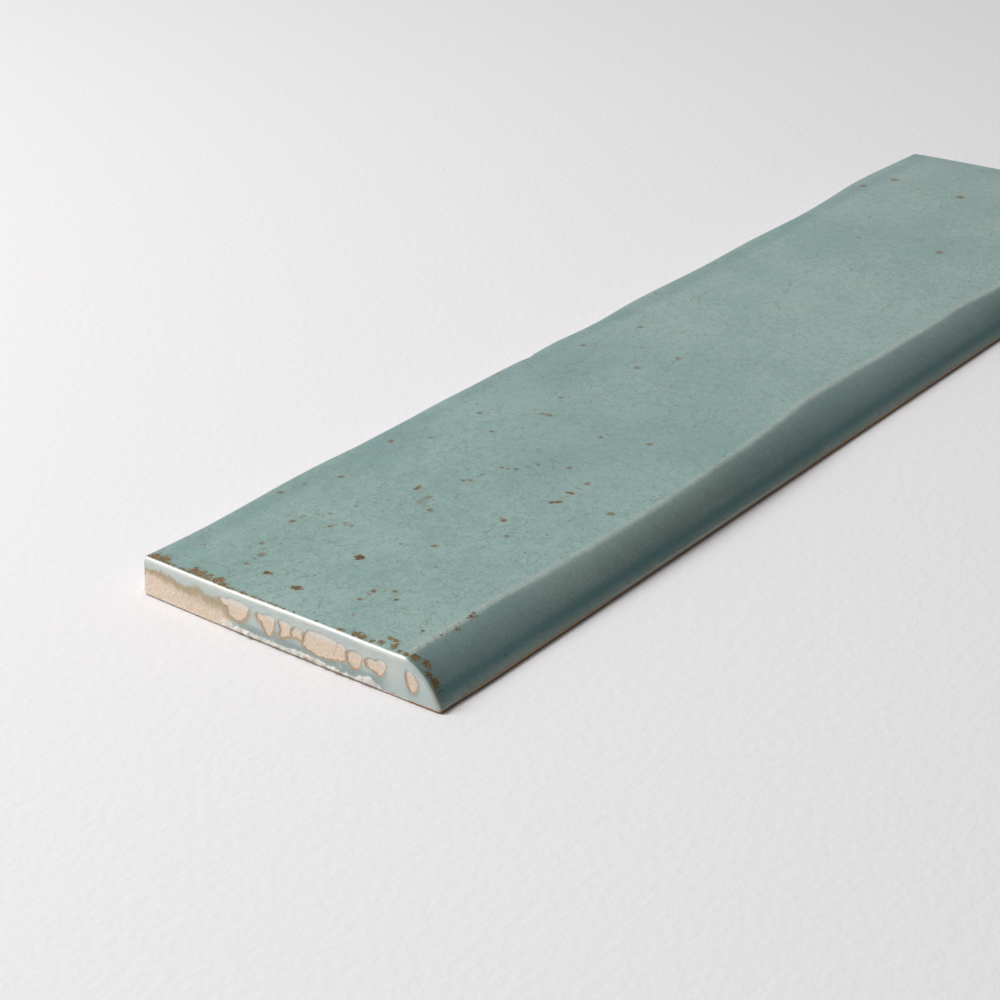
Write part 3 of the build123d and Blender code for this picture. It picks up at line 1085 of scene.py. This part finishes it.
def make_lights(settings):
    """One large soft key light, and a dim room that is brighter on one side."""
    lamp = bpy.data.lights.new("key", "AREA")
    lamp.shape = "SQUARE"
    lamp.size = KEY_SIZE
    lamp.energy = settings.key_power
    key = bpy.data.objects.new("key", lamp)
    key.location = KEY_DIRECTION * KEY_DISTANCE
    key.rotation_mode = "QUATERNION"
    key.rotation_quaternion = KEY_DIRECTION.to_track_quat("Z", "Y")
    bpy.context.scene.collection.objects.link(key)

    world = bpy.data.worlds.new("room")
    world.use_nodes = True
    tree = world.node_tree
    tree.nodes.clear()
    direction = add_node(tree, "ShaderNodeTexCoord").outputs["Generated"]
    towards = add_node(
        tree, "ShaderNodeVectorMath", {0: direction, 1: ROOM_BRIGHT_SIDE}, operation="DOT_PRODUCT"
    )
    brightness = add_node(
        tree, "ShaderNodeMapRange",
        {"Value": towards.outputs["Value"],
         "From Min": ROOM_DARK_SHARE, "From Max": ROOM_BRIGHT_SHARE,
         "To Min": settings.room_dark, "To Max": settings.room},
        interpolation_type="SMOOTHSTEP",
    )
    light = add_node(tree, "ShaderNodeBackground", {"Strength": brightness.outputs[0]})
    light.inputs["Color"].default_value = (1, 1, 1, 1)
    add_node(tree, "ShaderNodeOutputWorld", {"Surface": light.outputs[0]})
    bpy.context.scene.world = world


def make_camera(settings):
    """The camera, turned from +X, tipped down and rolled as the photo's was."""
    turn, tip, roll = CAMERA_TURN, CAMERA_TIP, CAMERA_ROLL
    forward = Vector(
        (math.cos(turn) * math.cos(tip), math.sin(turn) * math.cos(tip), -math.sin(tip))
    )
    level = Vector((math.sin(turn), -math.cos(turn), 0.0))
    upright = level.cross(forward)
    right = math.cos(roll) * level + math.sin(roll) * upright
    up = -math.sin(roll) * level + math.cos(roll) * upright
    data = bpy.data.cameras.new("camera")
    data.sensor_width = 36.0
    data.lens = settings.lens
    data.clip_start = 0.01
    camera = bpy.data.objects.new("camera", data)
    aim = Matrix((right, up, -forward)).transposed().to_4x4()
    camera.matrix_world = Matrix.Translation(CAMERA_PLACE) @ aim
    bpy.context.scene.collection.objects.link(camera)
    bpy.context.scene.camera = camera


class MakeStage(bpy.types.Operator):
    """Make the plain floor, the soft lights and the camera"""

    bl_idname = "tile.make_stage"
    bl_label = "Make Stage"

    def execute(self, context):
        settings = context.scene.tile_stage
        make_floor(settings)
        make_lights(settings)
        make_camera(settings)
        context.scene.view_settings.view_transform = "Standard"
        return {"FINISHED"}


class TilePanel(bpy.types.Panel):
    """The tile's settings and steps, in the sidebar of the 3D view"""

    bl_idname = "VIEW3D_PT_bullnose_tile"
    bl_label = "Bullnose Wall Tile"
    bl_space_type = "VIEW_3D"
    bl_region_type = "UI"
    bl_category = "Tile"

    def draw(self, context):
        for settings in (context.scene.tile_glaze, context.scene.tile_stage):
            box = self.layout.box()
            for name in settings.__annotations__:
                box.prop(settings, name)
        for operator in (MakeTile, MakeStage):
            self.layout.operator(operator.bl_idname)


CLASSES = (GlazeSettings, StageSettings, MakeTile, MakeStage, TilePanel)


def register():
    """Registers the classes and gives the scene its settings."""
    for each in CLASSES:
        bpy.utils.register_class(each)
    bpy.types.Scene.tile_glaze = bpy.props.PointerProperty(type=GlazeSettings)
    bpy.types.Scene.tile_stage = bpy.props.PointerProperty(type=StageSettings)


def unregister():
    """Takes the settings and the classes away again."""
    del bpy.types.Scene.tile_stage
    del bpy.types.Scene.tile_glaze
    for each in reversed(CLASSES):
        bpy.utils.unregister_class(each)


def main():
    """Makes the tile and the stage."""
    register()
    bpy.ops.tile.make_tile()
    bpy.ops.tile.make_stage()


if __name__ == "__main__":
    main()
